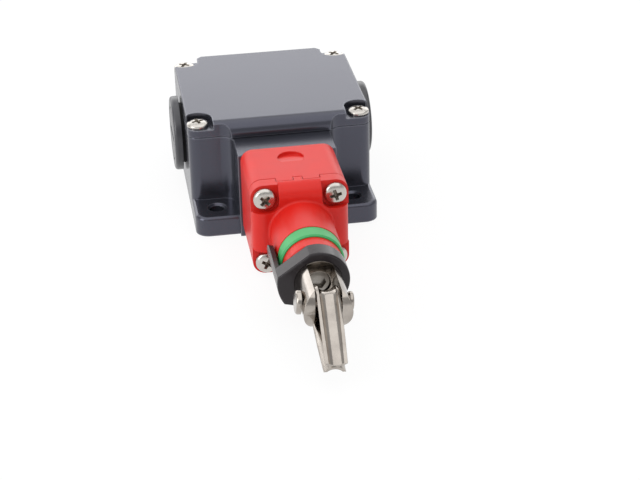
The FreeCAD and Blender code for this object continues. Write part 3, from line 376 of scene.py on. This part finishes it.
def makeScrew(p, length):
    # the rim is a cylinder, the dome is raised ring by ring from its top and the shank drawn from its foot
    deselect()
    bpy.ops.mesh.primitive_cylinder_add(vertices=p["sides"], radius=p["head"], depth=p["rim"],
                                        location=(0, 0, p["rim"] / 2))
    bpy.ops.object.transform_apply(location=True)
    screw = bpy.context.object
    for finish in screwFinishes:
        screw.data.materials.append(finishes[finish])
    bpy.ops.object.mode_set(mode="EDIT")
    pickFaces(screw, isTop)
    last, lastHeight = p["head"], p["rim"]
    for step in range(1, p["domeSteps"] + 1):
        climb = math.radians(p["lastRing"]) * step / p["domeSteps"]
        ring = p["head"] * math.cos(climb) ** p["shoulder"]
        height = p["rim"] + (p["crown"] - p["rim"]) * math.sin(climb) ** p["shoulder"]
        bpy.ops.mesh.extrude_region_move(TRANSFORM_OT_translate={"value": (0, 0, height - lastHeight)})
        bpy.ops.transform.resize(value=(ring / last, ring / last, 1))
        last, lastHeight = ring, height
    pickFaces(screw, isBottom)
    bpy.ops.mesh.inset(thickness=p["head"] - p["shank"])
    for drop in (length - p["tip"], p["tip"]):
        bpy.ops.mesh.extrude_region_move(TRANSFORM_OT_translate={"value": (0, 0, -drop)})
    bpy.ops.transform.resize(value=(p["tipShare"], p["tipShare"], 1))
    bpy.ops.object.mode_set(mode="OBJECT")
    soften = screw.modifiers.new("soften", "BEVEL")
    soften.width = p["edge"]
    soften.segments = p["edgeSteps"]
    soften.limit_method = "ANGLE"
    soften.angle_limit = math.radians(p["edgeOver"])
    bpy.ops.object.modifier_apply(modifier=soften.name)
    for cutter in recessCutters(p):
        cut = screw.modifiers.new("recess", "BOOLEAN")
        cut.operation = "DIFFERENCE"
        cut.solver = "EXACT"
        cut.object = cutter
        deselect()
        bpy.context.view_layer.objects.active = screw
        screw.select_set(True)
        bpy.ops.object.modifier_apply(modifier=cut.name)
        bpy.data.objects.remove(cutter)
    bpy.ops.object.shade_smooth_by_angle(angle=math.radians(p["smoothUnder"]))
    return screw


def screwPlaces(node, axis):
    # each head stands a head's radius inside a corner of the node's box, and the shank takes the rest of it
    low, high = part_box(node)
    reach, tall = panScrew["head"], panScrew["nodeHead"]
    across = (low.x + reach, high.x - reach)
    if axis == "z":
        spots = [(x, y, high.z - tall) for x in across for y in (low.y + reach, high.y - reach)]
        return spots, high.z - low.z - tall
    spots = [(x, low.y + tall, z) for x in across for z in (low.z + reach, high.z - reach)]
    return spots, high.y - low.y - tall


def setScrews(name, p):
    # one master, copied to each place with its own turn, then joined into one piece
    spots, length = screwPlaces(p["node"], p["axis"])
    master = makeScrew(p["screw"], length)
    copies = []
    for spot, turn in zip(spots, p["turns"]):
        copy = master.copy()
        copy.data = master.data.copy()
        scene.collection.objects.link(copy)
        copy.rotation_mode = "XYZ"
        copy.rotation_euler = (0 if p["axis"] == "z" else math.pi / 2, 0, 0)
        copy.rotation_euler.rotate_axis("Z", math.radians(turn))
        copy.location = spot
        copies.append(copy)
    bpy.data.objects.remove(master)
    deselect()
    for copy in copies:
        copy.select_set(True)
    bpy.context.view_layer.objects.active = copies[0]
    bpy.ops.object.transform_apply(location=True, rotation=True, scale=True)
    bpy.ops.object.join()
    piece = bpy.context.object
    piece.name = name
    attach(piece, "base")
    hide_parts(p["node"])


for name, p in screwSets.items():
    setScrews(name, p)
print("screws set:", len(screwSets), "sets")


# Coil springs, wound again in place of their CAD nodes
coilSprings = {
    "returnSpring": {
        "node": "return_spring", "lay": "y",
        "wire": 0.0016, "turns": 8, "steps": 36, "sides": 12, "smoothUnder": 50,
    },
    "plungerSpring": {
        "node": "plunger_spring", "lay": "x",
        "wire": 0.0006, "turns": 4, "steps": 32, "sides": 10, "smoothUnder": 50,
    },
}


def windCoil(name):
    # a ring of wire wound round Z, then laid along the axis of the node it stands for
    p = coilSprings[name]
    low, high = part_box(p["node"])
    size = high - low
    length, width = (size.y, size.x) if p["lay"] == "y" else (size.x, size.y)
    deselect()
    bpy.ops.mesh.primitive_circle_add(vertices=p["sides"], radius=p["wire"] / 2)
    coil = bpy.context.object
    coil.name = name
    bpy.ops.object.mode_set(mode="EDIT")
    bpy.ops.transform.rotate(value=math.pi / 2, orient_axis="X", center_override=(0, 0, 0))
    bpy.ops.transform.translate(value=((width - p["wire"]) / 2, 0, (p["wire"] - length) / 2))
    bpy.ops.object.mode_set(mode="OBJECT")
    wind = coil.modifiers.new("wind", "SCREW")
    wind.axis = "Z"
    wind.iterations = p["turns"]
    wind.screw_offset = (length - p["wire"]) / p["turns"]
    wind.steps = wind.render_steps = p["steps"]
    bpy.ops.object.modifier_apply(modifier=wind.name)
    bpy.ops.object.mode_set(mode="EDIT")
    bpy.ops.mesh.select_all(action="SELECT")
    bpy.ops.mesh.fill_holes(sides=0)  # closes the two ends of the wire
    bpy.ops.mesh.normals_make_consistent(inside=False)
    bpy.ops.object.mode_set(mode="OBJECT")
    coil.rotation_euler = (math.pi / 2, 0, 0) if p["lay"] == "y" else (0, math.pi / 2, 0)
    coil.location = (low + high) / 2
    bpy.ops.object.transform_apply(location=True, rotation=True, scale=True)
    bpy.ops.object.shade_smooth_by_angle(angle=math.radians(p["smoothUnder"]))
    coil.data.materials.append(finishes["spring_steel"])
    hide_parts(p["node"])
    return coil, low, high


# When the shaft is pulled right out, the real return spring is shorter by the shaft's whole travel; here it
# rides on the base as wound
coil, low, high = windCoil("returnSpring")
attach(coil, "base")
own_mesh(coil)

# The real plunger's spring stays on the block's wall at one end and follows the plunger at the other; here
# its placing is baked into its mesh
coil, low, high = windCoil("plungerSpring")
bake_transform(coil)
print("springs wound:", len(coilSprings))


# Floor and light, in metres and watts

def seenWhite(tree):
    # 1 for what the camera sees, also in a reflection or through something, and 0 for light on things
    rays = addNode(tree, "LightPath", {}).node.outputs
    seen = addNode(tree, "Math", {0: rays["Is Camera Ray"], 1: rays["Is Glossy Ray"]}, operation="MAXIMUM")
    return addNode(tree, "Math", {0: seen, 1: rays["Is Transmission Ray"]}, operation="MAXIMUM")


# White painted board; most of what is seen of it is plain white, and the rest keeps the shadow
studioFloor = {
    "name": "whitePaintedBoard", "size": 8, "drop": 0.0002, "whiteShare": 0.9,
    "shader": {"Base Color": hexColor("#f7f7f7"), "Roughness": 0.7, "Specular IOR Level": 0.2},
}


def layFloor(p):
    deselect()
    bpy.ops.mesh.primitive_plane_add(size=p["size"], location=(0, 0, -p["drop"]))
    floor = bpy.context.object
    floor.name = "floor"
    mat, tree, skin = startMaterial(p["name"])
    feed(tree, skin, p["shader"])
    white = addNode(tree, "Emission", {})
    share = addNode(tree, "Math", {0: seenWhite(tree), 1: p["whiteShare"]}, operation="MULTIPLY")
    mixed = addNode(tree, "MixShader", {0: share, 1: skin.outputs[0], 2: white})
    feed(tree, tree.nodes["Material Output"], {"Surface": mixed})
    floor.data.materials.append(mat)


# The room is white near the horizon and greyer above it, which metal and the cover reflect
studioRoom = {
    "ambient": 0.55,  # strength of the light on things
    "backdrop": 1.0, "upper": 0.5,  # strength of what is seen, low and high
    "fade": (0.1, 0.32),  # heights of the view's direction between which one becomes the other
}


def lightRoom(p):
    world = scene.world or bpy.data.worlds.new("studio")
    scene.world = world
    world.use_nodes = True
    tree = world.node_tree
    tree.nodes.clear()
    white = {"Color": (1, 1, 1, 1)}
    ambient = addNode(tree, "Background", {**white, "Strength": p["ambient"]})
    heading = addNode(tree, "TexCoord", {}, "Generated")
    height = addNode(tree, "SeparateXYZ", {0: heading}, "Z")
    fall = addNode(tree, "MapRange", {
        "Value": height, "From Min": p["fade"][0], "From Max": p["fade"][1],
        "To Min": p["backdrop"], "To Max": p["upper"],
    }, interpolation_type="SMOOTHSTEP")
    backdrop = addNode(tree, "Background", {**white, "Strength": fall})
    mixed = addNode(tree, "MixShader", {0: seenWhite(tree), 1: ambient, 2: backdrop})
    feed(tree, tree.nodes.new("ShaderNodeOutputWorld"), {"Surface": mixed})


softboxes = {
    "rearSoftbox": {"place": (-0.05, 1.1, 0.4), "aim": (0, 0, 0.03), "size": (2.2, 0.51), "power": 5.5},
    "upperSoftbox": {"place": (-0.05, 0.95, 0.82), "aim": (0, 0, 0.03), "size": (2.2, 0.36), "power": 1.9},
    "topSoftbox": {"place": (0, -0.1, 1.15), "aim": (0, 0, 0.03), "size": (2, 2), "power": 12},
    "leftSoftbox": {"place": (-0.9, -0.4, 0.5), "aim": (0, -0.05, 0.02), "size": (0.6, 0.6), "power": 4.2},
}


def hangSoftbox(name, p):
    bpy.ops.object.light_add(type="AREA", location=p["place"])
    lamp = bpy.context.object
    lamp.name = name
    lamp.data.shape = "RECTANGLE"
    lamp.data.size, lamp.data.size_y = p["size"]
    lamp.data.energy = p["power"]
    ray = Vector(p["aim"]) - Vector(p["place"])
    lamp.rotation_euler = ray.to_track_quat("-Z", "Y").to_euler()


layFloor(studioFloor)
lightRoom(studioRoom)
for name, p in softboxes.items():
    hangSoftbox(name, p)
print("floor laid and light set")
